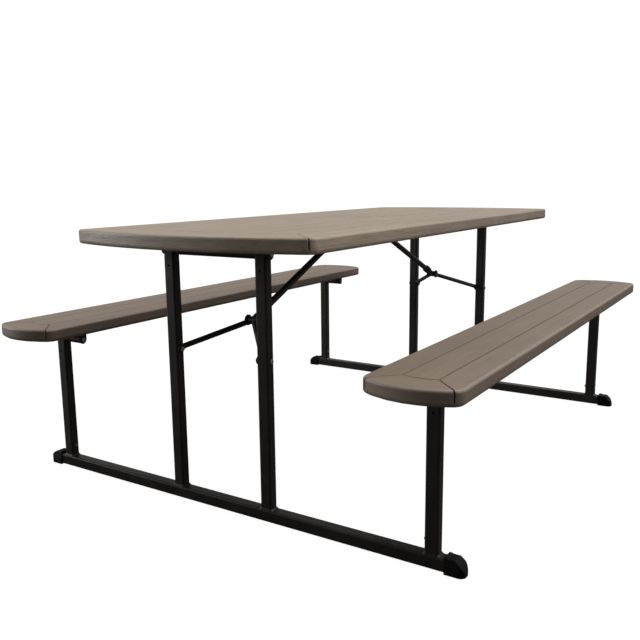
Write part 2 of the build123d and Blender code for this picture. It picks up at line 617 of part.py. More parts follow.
def strut():
    """The long tube of a brace, with a cross barrel at the hub and a bored upper end."""
    _, hub, anchor = brace_points()
    along = (anchor - hub).normalized()
    length = (anchor - hub).length + STRUT_END
    tube = rod(STRUT_RADIUS, hub, length, along)
    tube = tube + rod_y(BARREL_RADIUS, hub.X, hub.Z, -BARREL_HALF_LENGTH, BARREL_HALF_LENGTH)
    tube = tube - rod(STRUT_RADIUS - STRUT_WALL, hub, length + 1, along)
    barrel_bore = rod_y(BOLT_RADIUS, hub.X, hub.Z, -BARREL_HALF_LENGTH - 1, BARREL_HALF_LENGTH + 1)
    pin_bore = rod_y(BOLT_RADIUS + RUNNING, anchor.X, anchor.Z, -2 * STRUT_RADIUS, 2 * STRUT_RADIUS)
    return tube - barrel_bore - pin_bore


def lock_ring():
    """The sleeve that slides on the strut and drops over the hub end to lock it."""
    _, hub, anchor = brace_points()
    along = (anchor - hub).normalized()
    start = hub + along * (RING_POSITION - RING_LENGTH / 2)
    ring = rod(STRUT_RADIUS + SLIP + RING_WALL, start, RING_LENGTH, along)
    rims = [ring.edges().sort_by(lambda edge: (edge.center() - hub).length)[index] for index in (0, -1)]
    ring = chamfer(rims, RING_WALL / 3)
    return ring - rod(STRUT_RADIUS + SLIP, start - along, RING_LENGTH + 2, along)


# The assembly -----------------------------------------------------------------------------

def build_root():
    """The table top and what is fixed to it."""
    save("tabletop", tabletop())
    save("umbrella_cap", umbrella_cap())
    hinge_bolt = bushed_bolt(FRAME_OFFSET, HINGE_Z, TABLE_CROSSBAR_END, TABLE_EAR_FACE)
    for end_name, end in ENDS.items():
        for side_name, side in SIDES.items():
            save(f"{end_name}_{side_name}_table_ear", flip_y(flip_x(table_ear(), end), side))
        save(f"{end_name}_strut_anchor", flip_x(strut_anchor(), end))
    save("table_hinge_bolts", *[flip_y(flip_x(hinge_bolt, end), side)
                                for end in ENDS.values() for side in LEFT_RIGHT])
    save("strut_anchor_pins", *[flip_x(anchor_pin(), end) for end in ENDS.values()])
    save("table_bracket_screws", *[flip_x(screw_up(x, y, TABLE_UNDERSIDE - PLATE), end)
                                   for x, y in table_screw_places() for end in ENDS.values()])


def build_frame(end_name, end):
    """One end frame: rail, posts, crossbars, shoes, welds and bolts."""
    save(f"{end_name}_base_rail", flip_x(base_rail(), end))
    save(f"{end_name}_table_crossbar",
         flip_x(crossbar(-TABLE_CROSSBAR_END, TABLE_CROSSBAR_END, HINGE_Z), end))
    bar_inner, bar_outer = bench_bar_ends()
    for side_name, side in SIDES.items():
        pieces = {
            "tall_post": tall_post(),
            "bench_post": bench_post(),
            "bench_crossbar": crossbar(BENCH_OFFSET + bar_inner, BENCH_OFFSET + bar_outer, BENCH_HINGE_Z),
            "foot_shoe": foot_shoe(),
        }
        for name, piece in pieces.items():
            save(f"{end_name}_{side_name}_{name}", flip_y(flip_x(piece, end), side))
    beads = [weld_bead(side * y) for side in LEFT_RIGHT for y in (TALL_POST_OFFSET, BENCH_OFFSET)]
    save(f"{end_name}_weld_beads", *[flip_x(bead, end) for bead in beads])
    for name, bolt in (("arm_pivot_bolts", pivot_bolt()), ("post_bolts", post_bolt())):
        save(f"{end_name}_{name}", *[flip_y(flip_x(bolt, end), side) for side in LEFT_RIGHT])


def build_brace(end_name, end):
    """One folding brace: two wishbone arms, their hub rivets, the strut and its lock ring."""
    for side_name, side in SIDES.items():
        save(f"{end_name}_{side_name}_wishbone_arm", flip_y(flip_x(wishbone_arm(), end), side))
    save(f"{end_name}_hub_rivets", *[flip_y(flip_x(hub_rivet(), end), side) for side in LEFT_RIGHT])
    save(f"{end_name}_strut", flip_x(strut(), end))
    save(f"{end_name}_lock_ring", flip_x(lock_ring(), end))


def build_saddles(end_name, end):
    """The two bench saddles of one end and their bushed bolts."""
    place = Pos(0, BENCH_OFFSET, 0)
    bolts = []
    for side_name, side in SIDES.items():
        save(f"{end_name}_{side_name}_saddle", flip_y(flip_x(place * saddle(), end), side))
        bolts += [flip_y(flip_x(place * bolt, end), side) for bolt in saddle_bolts()]
    save(f"{end_name}_saddle_bolts", *bolts)


def build_bench(side_name, side):
    """One bench with its tracks and their screws."""
    place = Pos(0, side * BENCH_OFFSET, 0)
    save(f"{side_name}_bench", place * bench())
    save(f"{side_name}_bench_tracks", *[flip_x(place * track(edge * TRACK_SPACING / 2), end)
                                        for end in ENDS.values() for edge in LEFT_RIGHT])
    save(f"{side_name}_track_screws", *[place * screw_up(end * x, y, BENCH_UNDERSIDE - PLATE)
                                        for x, y in track_screw_places() for end in ENDS.values()])


os.makedirs("parts", exist_ok=True)
build_root()
for end_label, end_sign in ENDS.items():
    build_frame(end_label, end_sign)
    build_brace(end_label, end_sign)
    build_saddles(end_label, end_sign)
for side_label, side_sign in SIDES.items():
    build_bench(side_label, side_sign)
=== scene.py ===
import json
import logging
import math
from dataclasses import dataclass, field
from enum import Enum

import bmesh
import bpy
from mathutils import Matrix, Vector


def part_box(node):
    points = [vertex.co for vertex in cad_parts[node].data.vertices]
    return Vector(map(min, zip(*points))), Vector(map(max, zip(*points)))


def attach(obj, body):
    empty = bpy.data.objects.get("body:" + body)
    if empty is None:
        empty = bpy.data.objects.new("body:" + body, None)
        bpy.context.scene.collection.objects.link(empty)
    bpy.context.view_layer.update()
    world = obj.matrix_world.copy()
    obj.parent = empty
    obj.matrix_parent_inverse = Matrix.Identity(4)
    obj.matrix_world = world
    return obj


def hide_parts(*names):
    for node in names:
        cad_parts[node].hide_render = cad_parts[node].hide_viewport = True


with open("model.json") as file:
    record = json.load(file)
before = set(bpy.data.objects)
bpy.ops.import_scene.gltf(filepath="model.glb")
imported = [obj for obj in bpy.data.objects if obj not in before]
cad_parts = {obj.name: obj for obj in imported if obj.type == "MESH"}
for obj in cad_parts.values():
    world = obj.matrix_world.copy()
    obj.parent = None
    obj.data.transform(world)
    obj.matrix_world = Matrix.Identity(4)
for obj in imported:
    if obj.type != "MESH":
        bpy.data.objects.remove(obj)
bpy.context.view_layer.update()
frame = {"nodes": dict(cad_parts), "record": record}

log = logging.getLogger("picnic_table")

# A folding picnic table in metres: +X runs from its near end to its far end, +Y to the left
# bench, +Z up, with the origin on the ground under the middle of the top.

SIDES = ("left", "right")
MM = 0.001


# Shader plumbing ----------------------------------------------------------------------------

class Board:
    """A small helper that lays nodes into one tree and wires them up."""

    def __init__(self, tree: bpy.types.NodeTree) -> None:
        """Start an empty tree.

        Args:
            tree: The node tree of a material, group or world.
        """
        self.tree = tree
        tree.nodes.clear()

    def add(self, kind: str, options: dict | None = None, **inputs: object) -> bpy.types.Node:
        """Add a node.

        Args:
            kind: The node's type name.
            options: Properties to set before the sockets are fed.
            inputs: Socket identifiers, with _ for a space, and a value or a socket for each.

        Returns:
            The new node.
        """
        node = self.tree.nodes.new(kind)
        for name, value in (options or {}).items():
            setattr(node, name, value)
        for name, value in inputs.items():
            self.feed(node, name, value)
        return node

    def feed(self, node: bpy.types.Node, name: str, value: object) -> None:
        """Give a socket a value or a link.

        Args:
            node: The node that has the socket.
            name: The socket's identifier, with _ for a space where it has one.
            value: A constant, or an output socket to link.
        """
        wanted = (name, name.replace("_", " "))
        socket = next(s for s in node.inputs if s.identifier in wanted or s.name in wanted)
        if isinstance(value, bpy.types.NodeSocket):
            self.tree.links.new(value, socket)
        else:
            socket.default_value = value

    def math(self, operation: str, first: object, second: object = 0.0) -> bpy.types.NodeSocket:
        """Combine two values.

        Args:
            operation: The Math node's operation.
            first: A number or a socket.
            second: A number or a socket.

        Returns:
            The result's socket.
        """
        node = self.tree.nodes.new("ShaderNodeMath")
        node.operation = operation
        for socket, value in zip(node.inputs, (first, second)):
            if isinstance(value, bpy.types.NodeSocket):
                self.tree.links.new(value, socket)
            else:
                socket.default_value = value
        return node.outputs[0]

    def noise(self, vector: bpy.types.NodeSocket, scale: float, detail: float = 2.0,
              roughness: float = 0.5) -> bpy.types.NodeSocket:
        """Noise from 0 to 1 over a vector.

        Args:
            vector: Where to read the noise.
            scale: Features per metre.
            detail: Octaves.
            roughness: Weight of the finer octaves.

        Returns:
            The value's socket.
        """
        node = self.add("ShaderNodeTexNoise", Vector=vector, Scale=scale, Detail=detail,
                        Roughness=roughness)
        return node.outputs["Fac"]

    def remap(self, value: bpy.types.NodeSocket, low: float, high: float, to_low: float = 0.0,
              to_high: float = 1.0) -> bpy.types.NodeSocket:
        """Stretch a range of a value to another range, clamped.

        Args:
            value: The value to stretch.
            low: Its low end.
            high: Its high end.
            to_low: What the low end becomes.
            to_high: What the high end becomes.

        Returns:
            The result's socket.
        """
        node = self.add("ShaderNodeMapRange", Value=value, From_Min=low, From_Max=high,
                        To_Min=to_low, To_Max=to_high)
        return node.outputs["Result"]

    def blend(self, factor: object, first: object, second: object,
              how: str = "MIX") -> bpy.types.NodeSocket:
        """Blend two colours.

        Args:
            factor: Share of the second colour.
            first: A colour or a socket.
            second: A colour or a socket.
            how: The Mix node's blend type.

        Returns:
            The colour's socket.
        """
        node = self.add("ShaderNodeMix", {"data_type": "RGBA", "blend_type": how},
                        Factor_Float=factor, A_Color=first, B_Color=second)
        return next(s for s in node.outputs if s.identifier == "Result_Color")


class Effect:
    """A shader node group that several finishes share. Each is built once."""

    name = ""
    inputs: dict[str, str] = {}
    outputs: dict[str, str] = {}
    made: dict[str, bpy.types.NodeTree] = {}

    @classmethod
    def place(cls, board: Board, **values: object) -> bpy.types.Node:
        """Put the effect into a material.

        Args:
            board: The material's board.
            values: Its inputs.

        Returns:
            The group node.
        """
        if cls.name not in Effect.made:
            Effect.made[cls.name] = cls.make()
        node = board.tree.nodes.new("ShaderNodeGroup")
        node.node_tree = Effect.made[cls.name]
        for name, value in values.items():
            board.feed(node, name, value)
        return node

    @classmethod
    def make(cls) -> bpy.types.NodeTree:
        """Build the group's tree, with its named sockets."""
        tree = bpy.data.node_groups.new(cls.name, "ShaderNodeTree")
        for label, kind in cls.inputs.items():
            tree.interface.new_socket(label, in_out="INPUT", socket_type=kind)
        for label, kind in cls.outputs.items():
            tree.interface.new_socket(label, in_out="OUTPUT", socket_type=kind)
        board = Board(tree)
        entry = tree.nodes.new("NodeGroupInput")
        leave = tree.nodes.new("NodeGroupOutput")
        for label, socket in cls.wire(board, entry).items():
            tree.links.new(socket, leave.inputs[label])
        return tree

    @classmethod
    def wire(cls, board: Board, entry: bpy.types.Node) -> dict[str, bpy.types.NodeSocket]:
        """Lay the group's nodes.

        Args:
            board: The group's board.
            entry: Its input node.

        Returns:
            A socket for each of its outputs.
        """
        raise NotImplementedError


class WoodGrain(Effect):
    """Moulded wood grain: long fine streaks that waver, with broader bands under them."""

    name = "wood_grain"
    inputs = {"Vector": "NodeSocketVector", "Turned": "NodeSocketFloat",
              "Shift": "NodeSocketFloat", "Streaks": "NodeSocketFloat"}
    outputs = {"Relief": "NodeSocketFloat", "Tone": "NodeSocketFloat"}
    stretch = 0.045
    waver = 0.010

    @classmethod
    def wire(cls, board: Board, entry: bpy.types.Node) -> dict[str, bpy.types.NodeSocket]:
        """Lay the streak and band noises over a vector turned along the board."""
        parts = board.add("ShaderNodeSeparateXYZ", Vector=entry.outputs["Vector"])
        x, y, z = parts.outputs
        turned, shift = entry.outputs["Turned"], entry.outputs["Shift"]
        swap = board.math("MULTIPLY", board.math("SUBTRACT", y, x), turned)
        along = board.math("ADD", x, swap)
        across = board.math("SUBTRACT", y, swap)
        place = board.add("ShaderNodeCombineXYZ", X=along, Y=across,
                          Z=board.math("ADD", z, shift)).outputs[0]
        sway = board.math("SUBTRACT", board.noise(place, 5.0, 1.0), 0.5)
        across = board.math("ADD", across, board.math("MULTIPLY", sway, cls.waver * 2))
        fine = board.add("ShaderNodeCombineXYZ", X=board.math("MULTIPLY", along, cls.stretch),
                         Y=across, Z=board.math("ADD", z, shift)).outputs[0]
        scaled = board.add("ShaderNodeVectorMath", {"operation": "SCALE"}, Vector=fine,
                           Scale=entry.outputs["Streaks"]).outputs[0]
        streak = board.noise(scaled, 1.0, 3.0, 0.62)
        band = board.noise(scaled, 0.21, 2.0, 0.5)
        sharp = board.remap(streak, 0.33, 0.67)
        relief = board.math("ADD", board.math("MULTIPLY", sharp, 0.72),
                            board.math("MULTIPLY", band, 0.28))
        tone = board.math("ADD", board.math("MULTIPLY", sharp, 0.45),
                          board.math("MULTIPLY", board.remap(band, 0.3, 0.7), 0.55))
        return {"Relief": relief, "Tone": tone}


class Skin(Effect):
    """The fine pebbling of a moulded or powder-coated skin, and the slow mottle of its sheen."""

    name = "fine_skin"
    inputs = {"Vector": "NodeSocketVector", "Pebble": "NodeSocketFloat",
              "Mottle": "NodeSocketFloat"}
    outputs = {"Relief": "NodeSocketFloat", "Sheen": "NodeSocketFloat"}

    @classmethod
    def wire(cls, board: Board, entry: bpy.types.Node) -> dict[str, bpy.types.NodeSocket]:
        """Lay one fine noise and one coarse noise."""
        vector = entry.outputs["Vector"]
        pebble = board.add("ShaderNodeTexNoise", Vector=vector, Scale=entry.outputs["Pebble"],
                           Detail=1.5, Roughness=0.5).outputs["Fac"]
        mottle = board.add("ShaderNodeTexNoise", Vector=vector, Scale=entry.outputs["Mottle"],
                           Detail=3.0, Roughness=0.6).outputs["Fac"]
        return {"Relief": pebble, "Sheen": board.remap(mottle, 0.3, 0.7)}


class Scuffs(Effect):
    """Hairline scuffs: sparse, short and slightly turned, where pieces rub and are handled."""

    name = "hairline_scuffs"
    inputs = {"Vector": "NodeSocketVector", "Density": "NodeSocketFloat"}
    outputs = {"Mask": "NodeSocketFloat"}

    @classmethod
    def wire(cls, board: Board, entry: bpy.types.Node) -> dict[str, bpy.types.NodeSocket]:
        """Lay a stretched, thresholded noise inside a patchy mask."""
        turned = board.add("ShaderNodeMapping", Vector=entry.outputs["Vector"],
                           Rotation=(0.5, 0.35, 0.8), Scale=(40.0, 900.0, 900.0)).outputs[0]
        hairs = board.remap(board.noise(turned, 1.0, 2.0, 0.55), 0.64, 0.70)
        patch = board.add("ShaderNodeTexNoise", Vector=entry.outputs["Vector"], Scale=11.0,
                          Detail=2.0).outputs["Fac"]
        patch = board.math("LESS_THAN", patch, entry.outputs["Density"])
        return {"Mask": board.math("MULTIPLY", hairs, patch)}


# Finishes -----------------------------------------------------------------------------------

Colour = tuple[float, float, float, float]


def shade(red: float, green: float, blue: float) -> Colour:
    """A linear colour from display values of 0 to 255."""
    def linear(value: float) -> float:
        value /= 255
        return value / 12.92 if value <= 0.04045 else ((value + 0.055) / 1.055) ** 2.4
    return linear(red), linear(green), linear(blue), 1.0


class Slot(Enum):
    """The material slots of the record."""

    MOULDED = "moulded_plastic"
    CAP = "cap_plastic"
    SHOE = "shoe_plastic"
    COAT = "powder_coat"
    BRACKET = "bracket_steel"
    RING = "ring_steel"
    ZINC = "zinc_fastener"


@dataclass(frozen=True)
class Finish:
    """A procedural finish. Its make method returns a new material."""

    name: str

    def start(self) -> tuple[bpy.types.Material, Board, bpy.types.NodeSocket]:
        """Start the material.

        Returns:
            The material, its board and its object coordinates.
        """
        material = bpy.data.materials.new(self.name)
        material.use_nodes = True
        board = Board(material.node_tree)
        return material, board, board.add("ShaderNodeTexCoord").outputs["Object"]

    def close(self, board: Board, colour: object, roughness: object, height: object,
              depth: float, **fixed: object) -> None:
        """Add the bump, the shader and the output.

        Args:
            board: The material's board.
            colour: Base colour, or its socket.
            roughness: Roughness, or its socket.
            height: Height for the bump.
            depth: What a height of one stands for, in metres.
            fixed: Constants on the shader's own sockets.
        """
        bump = board.add("ShaderNodeBump", Strength=1.0, Distance=depth, Height=height)
        shader = board.add("ShaderNodeBsdfPrincipled", Base_Color=colour, Roughness=roughness,
                           Normal=bump.outputs[0], **fixed)
        board.add("ShaderNodeOutputMaterial", Surface=shader.outputs[0])

    def make(self) -> bpy.types.Material:
        """Build the material."""
        raise NotImplementedError


@dataclass(frozen=True)
class MouldedPlastic(Finish):
    """Blow-moulded plastic with wood grain in its skin."""

    light: Colour
    dark: Colour
    # Colour of the painted shade in the grooves and corner slots.
    groove: Colour
    streaks: float
    grain_depth: float
    roughness: float = 0.50

    def make(self) -> bpy.types.Material:
        """Grain along each board, darker streaks, painted shade in the grooves and a painted highlight on
        the rim shoulders.
        """
        material, board, place = self.start()
        turned = board.add("ShaderNodeAttribute", {"attribute_name": "board_turned"}).outputs["Fac"]
        shift = board.add("ShaderNodeAttribute", {"attribute_name": "board_shift"}).outputs["Fac"]
        sunk = board.add("ShaderNodeAttribute", {"attribute_name": "sunk"}).outputs["Fac"]
        painted_rim_highlight = board.add("ShaderNodeAttribute", {"attribute_name": "painted_rim_highlight"}).outputs["Fac"]
        grain = WoodGrain.place(board, Vector=place, Turned=turned, Shift=shift,
                                Streaks=self.streaks)
        skin = Skin.place(board, Vector=place, Pebble=1400.0, Mottle=7.0)
        scuffs = Scuffs.place(board, Vector=place, Density=0.44)
        tone = grain.outputs["Tone"]
        colour = board.blend(tone, self.dark, self.light)
        cloud = board.remap(skin.outputs["Sheen"], 0.0, 1.0, 0.94, 1.05)
        clouds = board.add("ShaderNodeCombineColor", Red=cloud, Green=cloud, Blue=cloud).outputs[0]
        colour = board.blend(1.0, colour, clouds, "MULTIPLY")
        # Painted highlight: the rounded rim shoulders are lightened.
        colour = board.blend(board.math("MULTIPLY", painted_rim_highlight, 0.16), colour, shade(196, 184, 170))
        colour = board.blend(board.math("MULTIPLY", scuffs.outputs["Mask"], 0.10), colour,
                             shade(206, 196, 184))
        # Painted shade: the grooves and slots darken by how far they sank.
        colour = board.blend(board.math("MULTIPLY", sunk, 0.85), colour, self.groove)
        rough = board.math("ADD", self.roughness,
                           board.math("MULTIPLY", skin.outputs["Sheen"], 0.07))
        rough = board.math("SUBTRACT", rough, board.math("MULTIPLY", tone, 0.06))
        height = board.math("ADD", grain.outputs["Relief"],
                            board.math("MULTIPLY", skin.outputs["Relief"], 0.16))
        self.close(board, colour, rough, height, self.grain_depth, Specular_IOR_Level=0.45)
        return material


@dataclass(frozen=True)
class Coating(Finish):
    """A painted, coated or moulded skin over a whole piece."""

    base: Colour
    worn: Colour
    roughness: float
    metallic: float = 0.0
    pebble: float = 1500.0
    depth: float = 0.00012
    density: float = 0.42
    specular: float = 0.3

    def make(self) -> bpy.types.Material:
        """A pebbled skin with mottled sheen and sparse hairline scuffs."""
        material, board, place = self.start()
        skin = Skin.place(board, Vector=place, Pebble=self.pebble, Mottle=14.0)
        scuffs = Scuffs.place(board, Vector=place, Density=self.density)
        sheen, mask = skin.outputs["Sheen"], scuffs.outputs["Mask"]
        colour = board.blend(board.math("MULTIPLY", sheen, 0.22), self.base, self.worn)
        colour = board.blend(board.math("MULTIPLY", mask, 0.5), colour, self.worn)
        rough = board.math("ADD", self.roughness - 0.05, board.math("MULTIPLY", sheen, 0.12))
        rough = board.math("ADD", rough, board.math("MULTIPLY", mask, 0.12))
        self.close(board, colour, rough, skin.outputs["Relief"], self.depth,
                   Metallic=self.metallic, Specular_IOR_Level=self.specular)
        return material


FINISHES: dict[str, Finish] = {
    # The groove colours are the painted shade in each panel's grooves and slots.
    "table": MouldedPlastic("moulded_table", light=shade(166, 150, 133), dark=shade(136, 121, 106),
                            groove=shade(46, 38, 32), streaks=330.0, grain_depth=0.00045),
    "bench": MouldedPlastic("moulded_bench", light=shade(128, 112, 97), dark=shade(118, 102, 88),
                            groove=shade(22, 17, 14), streaks=360.0, grain_depth=0.00016),
    Slot.CAP.value: Coating("cap_plastic", base=shade(136, 125, 112), worn=shade(150, 140, 128),
                            roughness=0.5, pebble=1100.0, depth=0.00015),
    Slot.SHOE.value: Coating("shoe_plastic", base=shade(3, 3, 3), worn=shade(14, 14, 14),
                             roughness=0.62, pebble=1000.0, depth=0.00018, specular=0.15),
    Slot.COAT.value: Coating("powder_coat", base=shade(46, 41, 36), worn=shade(64, 57, 50),
                             roughness=0.42, specular=0.5),
    Slot.BRACKET.value: Coating("bracket_steel", base=shade(38, 34, 31), worn=shade(58, 54, 50),
                                roughness=0.42, metallic=0.2, depth=0.00008),
    Slot.RING.value: Coating("ring_steel", base=shade(36, 33, 30), worn=shade(70, 66, 62),
                             roughness=0.36, metallic=0.4, depth=0.00006, density=0.5),
    Slot.ZINC.value: Coating("zinc_fastener", base=shade(176, 176, 172), worn=shade(120, 118, 112),
                             roughness=0.34, metallic=1.0, pebble=2600.0, depth=0.00004, density=0.5),
}


class Wardrobe:
    """Makes each finish once and dresses pieces in it."""

    def __init__(self) -> None:
        """Start with nothing made."""
        self.made: dict[str, bpy.types.Material] = {}

    def finish(self, key: str) -> bpy.types.Material:
        """The material of a finish, made the first time that it is asked for."""
        if key not in self.made:
            self.made[key] = FINISHES[key].make()
        return self.made[key]

    def dress(self, piece: bpy.types.Object, key: str) -> None:
        """Give a piece one finish over its whole surface.

        Args:
            piece: The piece.
            key: The finish's name.
        """
        piece.data.materials.clear()
        piece.data.materials.append(self.finish(key))

    def dress_node(self, node: str, key: str) -> None:
        """Give a node of the frame a finish, in its object's own slots.

        Args:
            node: The node's name.
            key: The finish's name.
        """
        piece = frame["nodes"][node]
        if not piece.material_slots:
            piece.data.materials.append(self.finish(key))
        for slot in piece.material_slots:
            slot.material = self.finish(key)


# Making and placing pieces ------------------------------------------------------------------

def finish_mesh(bm: bmesh.types.BMesh, name: str, crease: float = math.radians(38)) -> bpy.types.Object:
    """Turn a bmesh into an object at the origin.

    Args:
        bm: The mesh, in the object's frame. It is freed.
        name: The piece's name.
        crease: Edges that turn more than this stay sharp.

    Returns:
        The object.
    """
    bmesh.ops.recalc_face_normals(bm, faces=bm.faces)
    for face in bm.faces:
        face.smooth = True
    for edge in bm.edges:
        if len(edge.link_faces) == 2:
            edge.smooth = edge.calc_face_angle(0.0) < crease
    mesh = bpy.data.meshes.new(name)
    bm.to_mesh(mesh)
    bm.free()
    piece = bpy.data.objects.new(name, mesh)
    bpy.context.scene.collection.objects.link(piece)
    return piece


def install(piece: bpy.types.Object, body: str, slot: Slot, *nodes: str) -> bpy.types.Object:
    """Make a piece ride on its body in place of its nodes.

    Args:
        piece: The piece.
        body: The body that it moves with.
        slot: The record's slot; not used.
        nodes: The nodes that it stands for.

    Returns:
        The piece.
    """
    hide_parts(*nodes)
    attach(piece, body)
    log.info("%s rides on %s, %d faces", piece.name, body, len(piece.data.polygons))
    return piece


# Moulded panels -----------------------------------------------------------------------------

@dataclass
class Groove:
    """The section of a moulded groove, by distance from its middle line."""

    half_width: float = 1.9 * MM
    depth: float = 2.5 * MM
    margin: float = 1.2 * MM
    steps: int = 8

    @property
    def reach(self) -> float:
        """Half of the strip that is cut for a groove."""
        return self.half_width + self.margin

    def sink(self, distance: float) -> float:
        """How far the surface sinks at a distance from the middle line."""
        if distance >= self.half_width:
            return 0.0
        return self.depth * (0.5 + 0.5 * math.cos(math.pi * distance / self.half_width)) ** 0.7


@dataclass
class MouldedPanel:
    """A blow-moulded panel: planks in a mitred border, a rounded rim and a hollow underside."""

    node: str
    body: str
    finish: str
    length: float
    width: float
    bow: float
    corner_radius: float
    rim_depth: float
    rim_width: float
    panel_depth: float
    top_radius: float
    bottom_radius: float
    side_border: float
    end_border: float
    planks: int
    rows_per_plank: int
    rib_places: list[float]
    rib_half: float = 4.0 * MM
    rib_depth: float = 14.0 * MM
    rib_gap: float = 12.0 * MM
    slot_land: float = 9.0 * MM
    slot_depth: float = 5.0 * MM
    bow_start: float = 0.70
    hole_radius: float = 0.0
    seat_radius: float = 0.0
    seat_depth: float = 3.3 * MM
    ring_radius: float = 0.0
    ring_share: float = 0.45
    groove: Groove = field(default_factory=Groove)
    corner_steps: int = 5
    corner_run: float = 24.0 * MM
    corner_lead: float = 20.0 * MM
    mitre_turn: float = math.radians(33)
    round_steps: int = 4

    def __post_init__(self) -> None:
        """Work out the arcs, columns and rows that the sizes give."""
        low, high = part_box(self.node)
        self.middle_y = (low.y + high.y) / 2
        self.top_z = high.z
        self.end_radius = ((self.width / 2) ** 2 + self.bow ** 2) / (2 * self.bow)
        self.arc_centre = self.length / 2 - self.end_radius
        self.field_y = self.width / 2 - self.side_border
        self.inner_radius = self.end_radius - self.end_border
        self.field_x = self.reach(self.field_y)
        self.rows = self._rows()
        self.columns = self._columns()
        centre, radius = self.corner_at(0.0)
        tip = centre + radius * Vector((math.cos(self.mitre_turn), math.sin(self.mitre_turn)))
        self.mitre_start = Vector((self.field_x, self.field_y))
        self.mitre_run = (tip - self.mitre_start).normalized()

    # The plan

    def mitre_angle(self, radius: float) -> float:
        """Where the mitre line crosses the corner's arc of a radius, as an angle about its middle."""
        away = self.corner_at(0.0)[0] - self.mitre_start
        middle = away.dot(self.mitre_run)
        off = self.mitre_run.x * away.y - self.mitre_run.y * away.x
        reach = math.sqrt(max(radius, 1.2 * abs(off)) ** 2 - off ** 2)
        cross = self.mitre_start + (middle + reach) * self.mitre_run - self.corner_at(0.0)[0]
        return math.atan2(cross.y, cross.x)

    def reach(self, y: float) -> float:
        """How far the planks run along X at a distance y from the middle line."""
        return self.arc_centre + math.sqrt(self.inner_radius ** 2 - y ** 2)

    def corner_at(self, inset: float) -> tuple[Vector, float]:
        """The middle and radius of the corner's arc on the outline drawn in by an inset."""
        radius = max(self.corner_radius - inset, 7 * MM)
        y = self.width / 2 - inset - radius
        x = self.arc_centre + math.sqrt((self.end_radius - inset - radius) ** 2 - y ** 2)
        return Vector((x, y)), radius

    def _rows(self) -> list[float]:
        """Where the grid's rows lie across the planks, closer at the corners."""
        plank = 2 * self.field_y / self.planks
        steps = self.planks * self.rows_per_plank
        rows = [-self.field_y + plank * index / self.rows_per_plank for index in range(steps + 1)]
        rows = [y for y in rows if abs(y) < self.field_y - self.corner_run - 2 * MM]
        close = [self.field_y - self.corner_run * step / self.corner_steps
                 for step in range(self.corner_steps + 1)]
        grooves = [-self.field_y + plank * index for index in range(self.planks + 1)]
        return sorted({round(y, 7) for y in (*rows, *close, *(-y for y in close), *grooves)})

    def _columns(self) -> list[float]:
        """Where the grid's columns lie along the planks."""
        half = {self.field_x - self.corner_run * step / self.corner_steps
                for step in range(self.corner_steps + 1)}
        spots = {x + side * self.rib_half for x in self.rib_places for side in (-1, 1)}
        block = self.block_half
        if block:
            steps = sum(1 for y in self.rows if 0 <= y < block - 1e-6)
            spots |= {side * block * step / steps for step in range(steps + 1) for side in (-1, 1)}
        else:
            spots.add(0.0)
        columns = {round(x, 7) for x in (*half, *(-x for x in half), *spots)}
        return sorted(columns)

    @property
    def block_half(self) -> float:
        """Half of the square around the umbrella hole, or nothing."""
        return 2 * self.field_y / self.planks if self.ring_radius else 0.0

    def field_point(self, column: int, row: int) -> Vector:
        """A grid point: straight columns in the middle, bowed ones towards the ends."""
        x, y = self.columns[column], self.rows[row]
        if abs(x) > self.bow_start:
            share = (abs(x) - self.bow_start) / (self.field_x - self.bow_start)
            x = math.copysign(self.bow_start + share * (self.reach(y) - self.bow_start), x)
        return Vector((x, y))

    def rim_point(self, column: int, row: int, inset: float) -> Vector:
        """Where a boundary grid point meets the outline drawn in by an inset."""
        centre, radius = self.corner_at(inset)
        x, y = self.columns[column], self.rows[row]
        start = math.atan2(centre.y, centre.x - self.arc_centre)
        if row in (0, len(self.rows) - 1):
            limit = self.field_x - self.corner_run
            if abs(x) <= limit + 1e-9:
                if abs(x) > self.bow_start:
                    share = (abs(x) - self.bow_start) / (limit - self.bow_start)
                    x = math.copysign(self.bow_start + share * (centre.x - self.bow_start), x)
                return Vector((x, math.copysign(self.width / 2 - inset, y)))
            share = (abs(x) - limit) / self.corner_run
            angle = math.pi / 2 + share * (self.mitre_angle(radius) - math.pi / 2)
        else:
            limit = self.field_y - self.corner_run
            end_radius = self.end_radius - inset
            bend = start - self.corner_lead / end_radius
            run = self.corner_lead + radius * (self.mitre_angle(radius) - start)
            along = (abs(y) - limit) / self.corner_run * run
            if along <= self.corner_lead:
                angle = bend * abs(y) / limit if along <= 1e-9 else bend + along / end_radius
                return Vector((math.copysign(self.arc_centre + end_radius * math.cos(angle), x),
                               math.copysign(end_radius * math.sin(angle), y)))
            angle = start + (along - self.corner_lead) / radius
        return Vector((math.copysign(centre.x + radius * math.cos(angle), x),
                       math.copysign(centre.y + radius * math.sin(angle), y)))

    # The mesh

